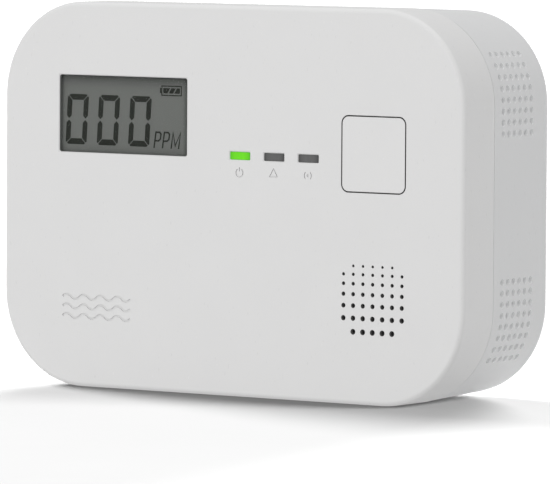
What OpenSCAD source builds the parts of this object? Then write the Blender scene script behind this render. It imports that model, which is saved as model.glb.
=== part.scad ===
// Carbon monoxide alarm for a shelf or a wall.
// Every module below is drawn lying on its back: X to the right, Y up the face, Z out of the wall.
// stand() turns each piece upright, so that the face looks along -Y and the underside lies on Z = 0.

/* [Case] */
// Width of the case
case_w = 120; // [118:1:126]
// Height of the case
case_h = 84; // [84:0.5:88]
// Depth from the wall side to the front face
case_d = 36; // [36:0.5:40]
// Radius of the corners, seen from the front
corner_r = 20.7; // [19:0.1:21.5]
// Wall thickness of both shells
wall = 2; // [1.8:0.1:2.2]
// Depth of the front cover, from its face to the seam
cover_d = 11.7; // [11:0.1:12.5]
// Width of the shadow gap between the two shells
seam_gap = 0.2; // [0.1:0.05:0.3]
// Rounding of the front edge
front_round = 1; // [0.5:0.1:1.2]
// Rounding of the back edge
back_round = 3; // [1:0.5:3]
// How far each side of the rear shell draws in towards the wall
draft = 0.8; // [0.2:0.1:1]

/* [Display] */
// Width of the display window
window_w = 34; // [32:0.1:34]
// Height of the display window
window_h = 16.8; // [15:0.1:17]
// Distance from the left side of the case to the middle of the window
window_x = 31.83; // [31:0.01:33]
// Height of the middle of the window
window_y = 59.6; // [59:0.1:61]

/* [Indicators] */
// Width of an indicator window
lamp_w = 5.2; // [4:0.1:6]
// Height of an indicator window
lamp_h = 1.7; // [1.2:0.1:2.2]
// Distance between neighbouring indicators
lamp_pitch = 8.85; // [8:0.05:9]
// Height of the row of indicators
lamp_y = 51.8; // [50:0.1:54]

/* [Button] */
// Side of the opening that the test button fills
button_size = 16.45; // [14:0.05:16.5]
// Gap around the button
button_gap = 0.3; // [0.2:0.05:0.4]
// Height of the middle of the button
button_y = 53.2; // [52:0.1:54]
// Distance that the button moves when pressed
button_travel = 0.5; // [0.2:0.1:0.5]

/* [Sounder grille] */
// Distance of the grille and button axis from the middle of the case
grille_x = 37.2; // [36:0.1:38]
// Height of the lowest row of holes
grille_low = 15.5; // [15:0.1:16]
// Distance between neighbouring columns of holes
grille_pitch = 2.47; // [2.3:0.01:2.6]
// Distance between the two lowest rows
grille_step = 2.88; // [2.7:0.01:3]
// How much each row comes closer than the one below it
grille_shrink = 0.22; // [0.1:0.01:0.3]
// Diameter of the holes in the lowest row
grille_hole = 1.25; // [1:0.01:1.4]
// How much smaller the holes get from row to row
grille_taper = 0.105; // [0:0.005:0.11]

/* [Side vents] */
// Diameter of a vent hole
vent_hole = 0.8; // [0.8:0.05:1]
// Diameter of the stepped mouth of a vent hole
vent_mouth = 1.5; // [1.2:0.1:1.5]
// Distance between neighbouring rows
vent_row_pitch = 2.38; // [2.3:0.01:2.5]
// Distance between neighbouring columns
vent_col_pitch = 2.37; // [2.3:0.01:2.4]
// Rows in one group
vent_rows = 8; // [4:1:8]
// Columns in one group
vent_cols = 6; // [3:1:6]

/* [Batteries] */
// Diameter of an AA cell
cell_d = 14.5; // [13.5:0.1:14.5]
// Length of an AA cell, terminal included
cell_l = 50.5; // [49.5:0.1:50.5]

/* [Hidden] */
$fn = 64;

// Levels above the wall side
seam_z = case_d - cover_d;
inner_front = case_d - wall;
board_t = 1.6;
board_back = 19.4;
board_front = board_back + board_t;
mid_y = case_h / 2;

// Laps at the seam: the cover's thin lip goes over the rear shell's tongue
lip_t = 1;
lip_l = 1.7;
tongue_l = 1.5;
slip = 0.1;

// Screws that close the case, near its corners
case_screw_x = case_w / 2 - 10.7;
case_screw_dy = mid_y - 10.7;
case_screws = [for (sx = [-1, 1], sy = [-1, 1]) [sx * case_screw_x, mid_y + sy * case_screw_dy]];
boss_r = 3.2;
column_r = 3.8;
screw_well_r = 2.7;
screw_shelf = 12;
case_screw_r = 1.45;
case_screw_tip = 31.5;

// Screws that hold the circuit board to the cover's posts
board_screws_at = [[-50.5, 38], [52.5, 30], [-8, 11], [14, 74]];
post_r = 2.5;
board_screw_r = 0.95;
board_screw_tip = 27;

// Display stack behind the window
display_x = window_x - case_w / 2;
stack_w = window_w + 2.4;
stack_h = window_h + 4.7;
stack_y = window_y - 1;
pocket_floor = case_d - 0.8;
lens_face = case_d - 0.15;
lamp_face = case_d - 0.15;
glass_front = pocket_floor - 0.05;
glass_back = 33.1;
light_back = 31.05;
light_h = 18.5;
frame_back = 29.8;
pin_y = stack_y - stack_h / 2 + 1.15;

// Indicator windows, from left to right, and the sign under each
lamp_x = 2.8;
sign_drop = 3.6;
sign_r = 0.9;
sign_line = 0.22;

// Lines cut into the face
engraving = 0.12;

// Bevel round the display window and the indicator windows, and their round corners
rim = 0.2;
lamp_round = 0.2;
window_round = 0.5;

// Vents: first row from mid-height, first column from the seam, depth of a step, and length of a hole
vent_first_rise = 15.7;
vent_first_col = 3.7;
vent_step = 0.3;
vent_l = 3.2;

// Emblem of three waves in the lower left of the face
emblem_x = -44;
emblem_y = 15.4;
emblem_line = 0.45;
emblem_step = 2.1;
wave_r = 1.6;
half_waves = 8;

// Battery bay and its door
bay_x = -6.25;
bay_l = 57.5;
bay_y0 = 22;
bay_h = 30;
bay_floor = 17.2;
bay_top = 18.6;
ledge = 1.6;
flange = 3;
bay_wall = 1.4;
door_t = 1.8;
door_gap = 0.25;
hinge_r = 1.8;
hinge_gap = 0.5;
hinge_y = bay_y0 - ledge + hinge_gap + hinge_r;
hinge_pin_r = 0.9;
door_half = bay_l / 2 + ledge - door_gap;
door_top = bay_y0 + bay_h + ledge - door_gap;
cell_z = 9.55;
cell_pitch = 15;
cell_y = bay_y0 + bay_h / 2 - cell_pitch / 2;
bay_left = bay_x - bay_l / 2;
bay_right = bay_x + bay_l / 2;
contact_t = 0.4;
contact_gap = 0.1;
dimple = 0.5;
terminal_l = 1;

// Switch plunger behind the button
plunger_foot = 23.6;
plunger_top = 26;

// Sounder
sounder_y = 22.5;
sounder_r = 12.8;
sounder_back = 22.6;
piezo_z = 28;
grille_skin = 1;
mesh_r = 11.3;

// Gas sensor
sensor_x = 40;
sensor_r = 9.3;

// Wall screws hang in two keyholes
keyhole_x = 30;
keyhole_y = 70;
keyhole_r = 4;
keyslot_r = 2.1;
keyslot_rise = 5;

// Turns a piece from lying on its back to standing on its underside.
module stand() {
    translate([0, case_d / 2, 0]) rotate([90, 0, 0]) children();
}

// Points along an arc, ends included.
function arc(cx, cy, r, a0, a1, n) =
    [for (i = [0:n]) [cx + r * cos(a0 + (a1 - a0) * i / n), cy + r * sin(a0 + (a1 - a0) * i / n)]];

// A block with round corners whose sides all follow one profile.
// The profile is [distance outwards from the corner's centre, height] and starts at distance 0.
module profiled_block(low, high, profile) {
    cx = case_w / 2 - corner_r;
    cy = case_h / 2 - corner_r;
    translate([0, mid_y, 0]) {
        translate([-cx, -cy, low]) cube([2 * cx, 2 * cy, high - low]);
        for (k = [0:3]) {
            out = k % 2 == 0 ? cx : cy;
            along = k % 2 == 0 ? cy : cx;
            rotate([0, 0, 90 * k]) {
                translate([out, along, 0]) rotate_extrude(angle = 90, $fn = 96) polygon(profile);
                translate([out, along, 0]) rotate([90, 0, 0]) linear_extrude(2 * along) polygon(profile);
            }
        }
    }
}

// The same block with straight sides.
module straight_block(inset, low, high) {
    r = corner_r - inset;
    profiled_block(low, high, [[0, low], [r, low], [r, high], [0, high]]);
}

// A flat plate with round corners, centred on X and Y.
module plate(w, h, r, low, high) {
    translate([0, 0, low]) linear_extrude(high - low) {
        square([w - 2 * r, h], center = true);
        square([w, h - 2 * r], center = true);
        for (sx = [-1, 1], sy = [-1, 1])
            translate([sx * (w / 2 - r), sy * (h / 2 - r)]) circle(r, $fn = 48);
    }
}

// A box between two heights, centred on X and Y.
module block(w, h, low, high) {
    translate([-w / 2, -h / 2, low]) cube([w, h, high - low]);
}

// A rod between two heights.
module rod(r, low, high) {
    translate([0, 0, low]) cylinder(r = r, h = high - low);
}

module at(x, y) {
    translate([x, y, 0]) children();
}

module grille_holes() {
    for (row = [0:6]) {
        columns = row == 0 || row == 6 ? 5 : 7;
        y = grille_low + row * grille_step - grille_shrink * row * (row - 1) / 2;
        for (col = [0:columns - 1])
            at(grille_x + (col - (columns - 1) / 2) * grille_pitch, y)
                rod(grille_hole / 2 - row * grille_taper / 2, inner_front - 1, case_d + 1);
    }
}

// Bevel round a rectangular opening of the face.
module bevel(w, h) {
    hull() {
        block(w, h, case_d - rim, case_d - 0.9 * rim);
        block(w + 4 * rim, h + 4 * rim, case_d + 0.99 * rim, case_d + rim);
    }
}

// Straight line cut into the face from p to q.
module groove(p, q, line) {
    translate([p[0], p[1], case_d - engraving]) rotate([0, 0, atan2(q[1] - p[1], q[0] - p[0])])
        translate([0, -line / 2, 0]) cube([norm(q - p), line, 1]);
}

// Line cut into the face along part of a circle.
module groove_arc(r, a0, a1, line) {
    rotate([0, 0, a0]) rotate_extrude(angle = a1 - a0)
        translate([r - line / 2, case_d - engraving]) square([line, 1]);
}

// Signs under the indicators: power, fault and alarm.
module indicator_signs() {
    corner = [for (k = [0:3]) 1.3 * sign_r * [cos(90 + 120 * k), sin(90 + 120 * k)]];
    at(lamp_x, lamp_y - sign_drop) {
        groove_arc(sign_r, 125, 415, sign_line);
        groove([0, 0.3], [0, sign_r + 0.25], sign_line);
    }
    at(lamp_x + lamp_pitch, lamp_y - sign_drop) for (k = [0:2]) groove(corner[k], corner[k + 1], sign_line);
    at(lamp_x + 2 * lamp_pitch, lamp_y - sign_drop) {
        rod(0.3, case_d - engraving, case_d + 1);
        for (a = [-50, 130]) groove_arc(sign_r, a, a + 100, sign_line);
    }
}

// Three wavy lines, each of quarter circles that curve up and down in turn.
module wave_emblem() {
    chord = wave_r * sqrt(2);
    for (line = [0:2], i = [0:half_waves - 1]) {
        up = i % 2 == 0 ? 1 : -1;
        at(emblem_x + (i + 0.5) * chord, emblem_y + line * emblem_step - up * chord / 2)
            groove_arc(wave_r, up * 90 - 46, up * 90 + 46, emblem_line);
    }
}

// Front cover: the face, its openings, and the bosses and posts behind it.
module front_cover() {
    low = seam_z + seam_gap / 2;
    r = corner_r;
    rounded = concat([[0, low], [r, low]],
        arc(r - front_round, case_d - front_round, front_round, 0, 90, 8), [[0, case_d]]);
    color("whitesmoke") stand() difference() {
        union() {
            difference() {
                profiled_block(low, case_d, rounded);
                straight_block(wall, low - 1, inner_front);
                straight_block(lip_t, low - 2, low + lip_l);
            }
            for (p = case_screws) at(p[0], p[1]) rod(boss_r, low, inner_front + 0.5);
            for (p = board_screws_at) at(p[0], p[1]) rod(post_r, board_front, inner_front + 0.5);
            at(grille_x, button_y) difference() {
                block(21.4, 21.4, 30.5, inner_front + 0.5);
                block(19, 19, 30, inner_front);
            }
            at(grille_x, sounder_y) difference() {
                rod(sounder_r + 1.2, 31, inner_front + 0.5);
                rod(sounder_r + 0.2, 30, inner_front);
            }
        }
        for (p = case_screws) at(p[0], p[1]) rod(case_screw_r + 0.05, low - 1, inner_front - 1);
        for (p = board_screws_at) at(p[0], p[1]) rod(board_screw_r + 0.05, board_front - 1, 30);
        at(display_x, window_y) plate(window_w, window_h, window_round, 33, case_d + 1);
        at(display_x, window_y) bevel(window_w, window_h);
        at(display_x, stack_y) block(stack_w + 0.3, stack_h + 0.3, inner_front - 1, pocket_floor);
        for (i = [0:2]) at(lamp_x + i * lamp_pitch, lamp_y) {
            plate(lamp_w, lamp_h, lamp_round, 33, case_d + 1);
            bevel(lamp_w, lamp_h);
        }
        at(grille_x, button_y) plate(button_size, button_size, 1.8, 33, case_d + 1);
        at(grille_x, sounder_y) rod(mesh_r + 0.1, 31, case_d - grille_skin);
        grille_holes();
        indicator_signs();
        wave_emblem();
    }
}

// Vent holes through both sides, in an upper and a lower group. Each one narrows inwards from its mouth
// in two steps, and in the round corners it points at the middle of the corner.
module vent_holes() {
    for (side = [-1, 1], half = [-1, 1], row = [0:vent_rows - 1], col = [0:vent_cols - 1]) {
        rise = vent_first_rise + row * vent_row_pitch;
        z = seam_z - vent_first_col - col * vent_col_pitch;
        r = corner_r - 0.05 - draft * (seam_z - z) / (seam_z - back_round);
        turn = asin(max(0, rise - mid_y + corner_r) / r);
        translate([side * (case_w / 2 - corner_r + r * cos(turn)), mid_y + half * rise, z])
            rotate([0, 0, side * half * turn]) rotate([0, side * 90, 0]) {
                translate([0, 0, -vent_l]) cylinder(d = vent_hole, h = vent_l + 0.1);
                translate([0, 0, -2 * vent_step])
                    cylinder(d = (vent_mouth + vent_hole) / 2, h = 2 * vent_step + 0.2);
                translate([0, 0, -vent_step]) cylinder(d = vent_mouth, h = vent_step + 0.4);
            }
    }
}

module keyhole() {
    rod(keyhole_r, -1, wall + 1);
    translate([-keyslot_r, 0, -1]) cube([2 * keyslot_r, keyslot_rise, wall + 2]);
    at(0, keyslot_rise) rod(keyslot_r, -1, wall + 1);
}

// Rear housing: the deep shell with the battery bay, screw columns, vents and keyholes.
module rear_housing() {
    top = seam_z - seam_gap / 2;
    r_seam = corner_r - 0.05;
    r_back = corner_r - 0.05 - draft;
    outer = concat(arc(r_back - back_round, back_round, back_round, -90, 0, 8),
        [[r_seam, top], [0, top], [0, 0]]);
    inner = concat([[0, wall], [r_back - wall - 1, wall]],
        arc(r_back - wall - 1, wall + 1, 1, -90, 0, 4), [[r_seam - wall, top + 3], [0, top + 3]]);
    bay_mid = bay_y0 + bay_h / 2;
    color("gainsboro") stand() difference() {
        union() {
            difference() {
                profiled_block(0, top, outer);
                profiled_block(wall, top + 3, inner);
            }
            difference() {
                straight_block(lip_t + slip, top - 2, top + tongue_l);
                straight_block(wall, top - 3, top + tongue_l + 1);
            }
            for (p = case_screws) at(p[0], p[1]) rod(column_r, wall / 2, top);
            at(bay_x, bay_mid) block(bay_l + 2 * flange, bay_h + 2 * flange, wall / 2, 5.4);
            at(bay_x, bay_mid) block(bay_l + 2 * bay_wall, bay_h + 2 * bay_wall, wall / 2, bay_top);
            for (sx = [-1, 1]) translate([sx * 30 - 6, 0, 3.5]) cube([12, 3, 4]);
        }
        for (p = case_screws) at(p[0], p[1]) {
            rod(screw_well_r, -1, screw_shelf);
            rod(case_screw_r + 0.15, screw_shelf - 1, top + 1);
        }
        at(bay_x, bay_mid) {
            block(bay_l, bay_h, -1, bay_floor);
            block(bay_l + 2 * ledge, bay_h + 2 * ledge, -1, wall);
        }
        translate([bay_x - bay_l / 2 - ledge, bay_y0 - ledge, -1])
            cube([bay_l + 2 * ledge, hinge_gap + 2 * hinge_r + 0.4, 5]);
        translate([bay_x, hinge_y, hinge_r]) rotate([0, 90, 0])
            cylinder(r = hinge_pin_r + 0.05, h = 2 * (door_half + 1.4), center = true);
        at(bay_x, bay_y0 + bay_h + ledge + 1.4) plate(16, 4, 1.2, -1, 1.3);
        for (p = [[bay_left + 0.3, bay_mid], [bay_right - 0.3, cell_y], [bay_right - 0.3, cell_y + cell_pitch]])
            at(p[0], p[1]) block(1.2, 3.2, bay_floor - 1, bay_top + 1);
        vent_holes();
        for (sx = [-1, 1]) at(sx * keyhole_x, keyhole_y) keyhole();
        at(0, 12.5) plate(56.4, 9.4, 1, -1, 0.15);
    }
}

// Battery door: hinged along its lower edge, with a finger edge and a catch tongue on top.
module battery_door() {
    color("whitesmoke") stand() difference() {
        union() {
            translate([bay_x - door_half, hinge_y, 0]) cube([2 * door_half, door_top - hinge_y, door_t]);
            translate([bay_x, hinge_y, hinge_r]) rotate([0, 90, 0])
                cylinder(r = hinge_r, h = 2 * door_half, center = true);
            translate([bay_x, hinge_y, hinge_r]) rotate([0, 90, 0])
                cylinder(r = hinge_pin_r, h = 2 * (door_half + 1.2), center = true);
            at(bay_x, 51.15) block(10, 1.1, 1, 4.6);
        }
        for (i = [0:4]) at(bay_x, door_top - 3 - 1.6 * i) plate(14, 0.7, 0.3, -1, 0.4);
    }
}

// Blank label in a shallow recess of the back.
module rating_label() {
    color("silver") stand() at(0, 12.5) plate(56, 9, 0.8, 0.02, 0.14);
}

// Clear pane that fills the window in front of the panel.
module display_lens() {
    color("lightgray", 0.4) stand()
        at(display_x, window_y)
            plate(window_w - 0.1, window_h - 0.1, window_round - 0.05, pocket_floor, lens_face);
}

// Liquid crystal panel.
module lcd_glass() {
    color("darkseagreen") stand()
        at(display_x, stack_y) block(stack_w - 0.2, stack_h - 0.2, glass_back, glass_front);
}

// Light guide plate behind the panel.
module lcd_backlight() {
    color("white") stand() at(display_x, stack_y + 0.8)
        block(stack_w - 1, light_h, light_back, glass_back - 0.05);
}

// Frame that holds the panel and stands on the board on four legs.
module lcd_frame() {
    color("ivory") stand() difference() {
        union() {
            at(display_x, stack_y) plate(stack_w + 3.2, stack_h + 3.3, 3, frame_back, inner_front - 0.1);
            for (sx = [-1, 1], sy = [-1, 1])
                at(display_x + sx * (stack_w / 2 - 1.5), stack_y + sy * (stack_h / 2 - 1.5))
                    rod(1.5, board_front, frame_back + 0.5);
        }
        at(display_x, stack_y) block(stack_w + 0.1, stack_h + 0.1, glass_back - 0.05, inner_front + 1);
        at(display_x, stack_y + 0.8) block(stack_w - 0.9, light_h + 0.1, light_back - 0.05, inner_front);
        at(display_x, stack_y + 0.8) block(stack_w - 4, light_h - 4, frame_back - 1, inner_front);
        at(display_x, pin_y) block(28, 1.2, frame_back - 1, inner_front);
    }
}

// Row of pins from the panel to the board.
module lcd_pins() {
    color("silver") stand() for (i = [0:13])
        at(display_x + (i - 6.5) * 2, pin_y) block(0.5, 0.3, board_front, glass_back - 0.05);
}

// Light pipe from a lamp on the board to its window in the face.
module light_pipe(i, shade) {
    color(shade) stand() at(lamp_x + i * lamp_pitch, lamp_y) union() {
        plate(lamp_w - 0.1, lamp_h - 0.1, lamp_round - 0.05, 22.6, lamp_face);
        block(lamp_w + 1.2, lamp_h + 1.2, inner_front - 0.9, inner_front - 0.1);
    }
}

module light_pipe_power() { light_pipe(0, "palegreen"); }
module light_pipe_fault() { light_pipe(1, "dimgray"); }
module light_pipe_alarm() { light_pipe(2, "dimgray"); }

// Surface mounted lamp with its two end terminals.
module led(i, shade) {
    color(shade) stand() at(lamp_x + i * lamp_pitch, lamp_y) difference() {
        block(3.2, 1.6, board_front, 22.2);
        for (sx = [-1, 1]) at(sx * 1.6, 0) rod(0.4, board_front - 1, 23);
    }
}

module led_power() { led(0, "lime"); }
module led_fault() { led(1, "gold"); }
module led_alarm() { led(2, "red"); }

// Square button cap with a flange behind the face and a post that meets the switch.
module test_button() {
    side = button_size - 2 * button_gap;
    color("whitesmoke") stand() at(grille_x, button_y) {
        difference() {
            union() {
                plate(side, side, 1.5, 33, case_d);
                plate(18.4, 18.4, 1.5, 32.7, 33.6);
            }
            block(13, 13, 32, case_d - 1.8);
        }
        rod(2, plunger_top + 0.05, case_d - 1);
        block(14, 1.2, 32.7, case_d - 1);
        block(1.2, 14, 32.7, case_d - 1);
    }
}

module tact_switch() {
    color("dimgray") stand() at(grille_x, button_y) difference() {
        union() {
            block(6, 6, board_front, 24.6);
            for (sx = [-1, 1], sy = [-1, 1]) at(sx * 3.4, sy * 2.2) block(1.2, 0.7, board_front, 21.8);
        }
        rod(1.75, plunger_foot - button_travel - 0.1, 25);
    }
}

module tact_plunger() {
    color("black") stand() at(grille_x, button_y) rod(1.7, plunger_foot, plunger_top);
}

// Circuit board with notches for the screw columns, screw holes and contact slots.
module circuit_board() {
    bay_mid = bay_y0 + bay_h / 2;
    color("darkgreen") stand() difference() {
        at(0, mid_y) plate(case_w - 9, case_h - 10, 16, board_back, board_front);
        for (p = case_screws) at(p[0], p[1]) rod(column_r + 0.4, board_back - 1, board_front + 1);
        for (p = board_screws_at) at(p[0], p[1]) rod(board_screw_r + 0.25, board_back - 1, board_front + 1);
        for (p = [[bay_left + 0.3, bay_mid], [bay_right - 0.3, cell_y], [bay_right - 0.3, cell_y + cell_pitch]])
            at(p[0], p[1]) block(0.8, 2.4, board_back - 1, board_front + 1);
    }
}

// Flat chip package with leads on all four sides.
module microcontroller() {
    color("black") stand() at(-22, 30) {
        block(10, 10, board_front + 0.1, board_front + 1.5);
        for (k = [0:3], i = [-4:4])
            rotate([0, 0, 90 * k]) at(5.5, i) block(1.2, 0.4, board_front, board_front + 0.5);
    }
}

module sensor_amplifier() {
    color("black") stand() at(2, 34) {
        block(4.9, 3.9, board_front + 0.1, board_front + 1.6);
        for (i = [-1.5:1:1.5], sy = [-1, 1])
            at(i * 1.27, sy * 2.4) block(0.4, 1.1, board_front, board_front + 0.6);
    }
}

module crystal() {
    color("silver") stand() at(-38, 31) plate(11, 4.6, 2.2, board_front, board_front + 3.6);
}

// Places of the chip resistors, each with a chip capacitor below it
chip_rows = [[-30, 18], [-26, 18], [-22, 18], [-18, 18], [-2, 24],
    [2, 24], [6, 24], [-30, 41], [-26, 41], [2, 43]];

module chip_resistors() {
    color("black") stand() for (p = chip_rows) at(p[0], p[1]) block(2, 1.2, board_front, board_front + 0.5);
}

module chip_capacitors() {
    color("tan") stand() for (p = chip_rows) at(p[0], p[1] - 3) block(2, 1.2, board_front, board_front + 1);
}

// Can with a rolled groove near its foot.
module electrolytic(r, h) {
    translate([0, 0, board_front]) rotate_extrude()
        polygon([[0, 0], [r, 0], [r, 1], [r - 0.3, 1.5], [r, 2], [r, h - 0.4], [r - 0.4, h], [0, h]]);
}

module electrolytic_capacitors() {
    color("navy") stand() {
        at(-40, 18) electrolytic(3.15, 9);
        at(12, 40) electrolytic(2.5, 9);
    }
}

module sounder_coil() {
    color("saddlebrown") stand() at(14, 24) translate([0, 0, board_front]) rotate_extrude()
        polygon([[0, 0], [4, 0], [4, 1], [3.2, 1.6], [3.2, 7.4], [4, 8], [4, 9], [0, 9]]);
}

module drive_transistor() {
    color("black") stand() at(14, 14) {
        block(3, 1.5, board_front + 0.1, board_front + 1.1);
        for (p = [[-0.95, -1.1], [0.95, -1.1], [0, 1.1]])
            at(p[0], p[1]) block(0.45, 1, board_front, board_front + 0.5);
    }
}

// Gas sensor: a metal can on the back of the board, with its inlet cap towards the wall side.
module co_sensor_can() {
    color("silver") stand() at(sensor_x, mid_y) rotate_extrude()
        polygon([[0, 5.6], [sensor_r - 0.6, 5.6], [sensor_r, 6.2],
            [sensor_r, 16.6], [sensor_r - 0.5, 17], [0, 17]]);
}

module co_sensor_cap() {
    color("white") stand() at(sensor_x, mid_y) difference() {
        rod(7.6, 3.6, 5.55);
        rod(1.5, 3, 5);
        for (a = [0:60:300]) rotate([0, 0, a]) at(4.6, 0) rod(0.7, 3, 5);
    }
}

module co_sensor_leads() {
    color("silver") stand() for (a = [90:120:330])
        at(sensor_x, mid_y) rotate([0, 0, a]) at(6, 0) rod(0.5, 17.02, board_back - 0.02);
}

// Sounder: a cup on the board, a disc that bends on a step inside it, and a lid with a sound hole.
module sounder_housing() {
    color("black") stand() at(grille_x, sounder_y) rotate_extrude()
        polygon([[5, sounder_back], [sounder_r, sounder_back], [sounder_r, 31.2], [12.2, 31.2], [12.2, piezo_z],
            [10.9, piezo_z], [10.9, sounder_back + 1.2], [5, sounder_back + 1.2]]);
}

module sounder_lid() {
    color("black") stand() at(grille_x, sounder_y) rotate_extrude()
        polygon([[4, 31.3], [sounder_r, 31.3], [sounder_r, 32.6], [4, 32.6]]);
}

module piezo_disc() {
    color("gold") stand() at(grille_x, sounder_y) rod(12, piezo_z + 0.02, piezo_z + 0.25);
}

module piezo_ceramic() {
    color("ivory") stand() at(grille_x, sounder_y) rod(8.5, piezo_z + 0.27, piezo_z + 0.5);
}

module sounder_gasket() {
    color("dimgray") stand() at(grille_x, sounder_y) difference() {
        rod(sounder_r - 0.1, 32.65, inner_front - 0.05);
        rod(11.5, 32, 35);
    }
}

module sounder_pins() {
    color("silver") stand() for (a = [30:120:270]) at(grille_x, sounder_y) rotate([0, 0, a]) at(8, 0)
        rod(0.5, board_front + 0.02, sounder_back - 0.02);
}

// Dark cloth that keeps dust out of the grille.
module dust_mesh() {
    color("black") stand() at(grille_x, sounder_y)
        rod(mesh_r, case_d - grille_skin - 0.22, case_d - grille_skin - 0.02);
}

// AA cell lying along X with its terminal to the right of the origin.
module cell() {
    r = cell_d / 2;
    rotate([0, 90, 0]) rotate_extrude()
        polygon([[0, 0], [r - 0.6, 0], [r, 0.6], [r, cell_l - terminal_l - 0.8], [r - 0.8, cell_l - terminal_l],
            [2.7, cell_l - terminal_l], [2.7, cell_l], [0, cell_l]]);
}

module battery_cell_lower() {
    x = bay_left + contact_gap + contact_t + dimple + cell_l;
    color("darkorange") stand() translate([x, cell_y, cell_z]) rotate([0, 0, 180]) cell();
}

module battery_cell_upper() {
    x = bay_right - contact_gap - contact_t - dimple - cell_l;
    color("darkorange") stand() translate([x, cell_y + cell_pitch, cell_z]) cell();
}

// Wire wound on a cone: rings of eight points joined one after another.
wire_r = 0.3;
coil_turns = 4;
coil_steps = 48;
coil_sides = 8;
coil_wide = 4.2;
coil_narrow = 2.6;

function coil_ring(i, length) =
    let (t = i / coil_steps, a = 360 * coil_turns * t, r = coil_wide + (coil_narrow - coil_wide) * t)
    [for (k = [0:coil_sides - 1]) let (b = 360 * k / coil_sides, q = r + wire_r * cos(b))
        [q * cos(a), q * sin(a), wire_r * 0.9 + (length - 2 * wire_r) * t + wire_r * sin(b)]];

module coil_spring(length) {
    n = coil_sides;
    points = [for (i = [0:coil_steps]) each coil_ring(i, length)];
    first = [for (k = [n - 1:-1:0]) k];
    last = [for (k = [0:n - 1]) coil_steps * n + k];
    skin = [for (i = [0:coil_steps - 1], k = [0:n - 1]) let (m = (k + 1) % n)
        each [[i * n + k, (i + 1) * n + m, (i + 1) * n + k], [i * n + k, i * n + m, (i + 1) * n + m]]];
    polyhedron(points, concat([first], [last], skin), convexity = 10);
}

spring_l = bay_l - 2 * contact_gap - 2 * contact_t - dimple - cell_l - 0.05;

// Contact plate against an end wall of the bay, seen from inside it.
module contact_plate(y_mid, h) {
    translate([0, y_mid - h / 2, 3]) cube([contact_t, h, bay_floor - 3.2]);
}

module contact_tail(y_mid) {
    translate([0, y_mid - 1, bay_floor - 1]) cube([contact_t, 2, board_front + 0.4 - bay_floor + 1]);
}

module contact_dimple(y_mid) {
    translate([contact_t - 0.05, y_mid, cell_z]) rotate([0, 90, 0]) cylinder(r1 = 3, r2 = 2.4, h = dimple);
}

module contact_spring(y_mid) {
    translate([contact_t, y_mid, cell_z]) rotate([0, 90, 0]) coil_spring(spring_l);
}

// Plate and spring that join the two cells at the left end.
module battery_bridge() {
    color("silver") stand() translate([bay_left + contact_gap, 0, 0]) union() {
        contact_plate(bay_y0 + bay_h / 2, 26);
        contact_tail(bay_y0 + bay_h / 2);
        contact_dimple(cell_y);
        contact_spring(cell_y + cell_pitch);
    }
}

module battery_contact_positive() {
    color("silver") stand() translate([bay_right - contact_gap, 0, 0]) mirror([1, 0, 0]) union() {
        contact_plate(cell_y + cell_pitch, 11);
        contact_tail(cell_y + cell_pitch);
        contact_dimple(cell_y + cell_pitch);
    }
}

module battery_contact_negative() {
    color("silver") stand() translate([bay_right - contact_gap, 0, 0]) mirror([1, 0, 0]) union() {
        contact_plate(cell_y, 11);
        contact_tail(cell_y);
        contact_spring(cell_y);
    }
}

// Pan head screw pointing away from the wall, with a cross recess.
module screw(shank_r, head_r, head_t, seat, tip) {
    difference() {
        rotate_extrude()
            polygon([[0, seat - head_t], [head_r * 0.7, seat - head_t], [head_r, seat - head_t * 0.5],
                [head_r, seat], [shank_r, seat], [shank_r, tip - 1.5], [0.3, tip], [0, tip]]);
        for (a = [0, 90]) rotate([0, 0, a])
            block(head_r * 1.1, head_r * 0.26, seat - head_t - 1, seat - head_t * 0.45);
    }
}

module housing_screws() {
    color("silver") stand() for (p = case_screws) at(p[0], p[1])
        screw(case_screw_r, 2.5, 1.9, screw_shelf - 0.02, case_screw_tip);
}

module board_screws() {
    color("silver") stand() for (p = board_screws_at) at(p[0], p[1])
        screw(board_screw_r, 2.1, 1.5, board_back - 0.02, board_screw_tip);
}

front_cover();
rear_housing();
battery_door();
rating_label();
display_lens();
lcd_glass();
lcd_backlight();
lcd_frame();
lcd_pins();
light_pipe_power();
light_pipe_fault();
light_pipe_alarm();
led_power();
led_fault();
led_alarm();
test_button();
tact_switch();
tact_plunger();
circuit_board();
microcontroller();
sensor_amplifier();
crystal();
chip_resistors();
chip_capacitors();
electrolytic_capacitors();
sounder_coil();
drive_transistor();
co_sensor_can();
co_sensor_cap();
co_sensor_leads();
sounder_housing();
sounder_lid();
piezo_disc();
piezo_ceramic();
sounder_gasket();
sounder_pins();
dust_mesh();
battery_cell_lower();
battery_cell_upper();
battery_bridge();
battery_contact_positive();
battery_contact_negative();
housing_screws();
board_screws();
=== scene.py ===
"""Looks of the carbon monoxide alarm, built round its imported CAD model.

Everything is in metres: X to the right, Y from the face to the wall, Z up.
Small lengths are written in millimetres.
"""

import math

import bmesh
import bpy
from mathutils import Matrix, Vector


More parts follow.
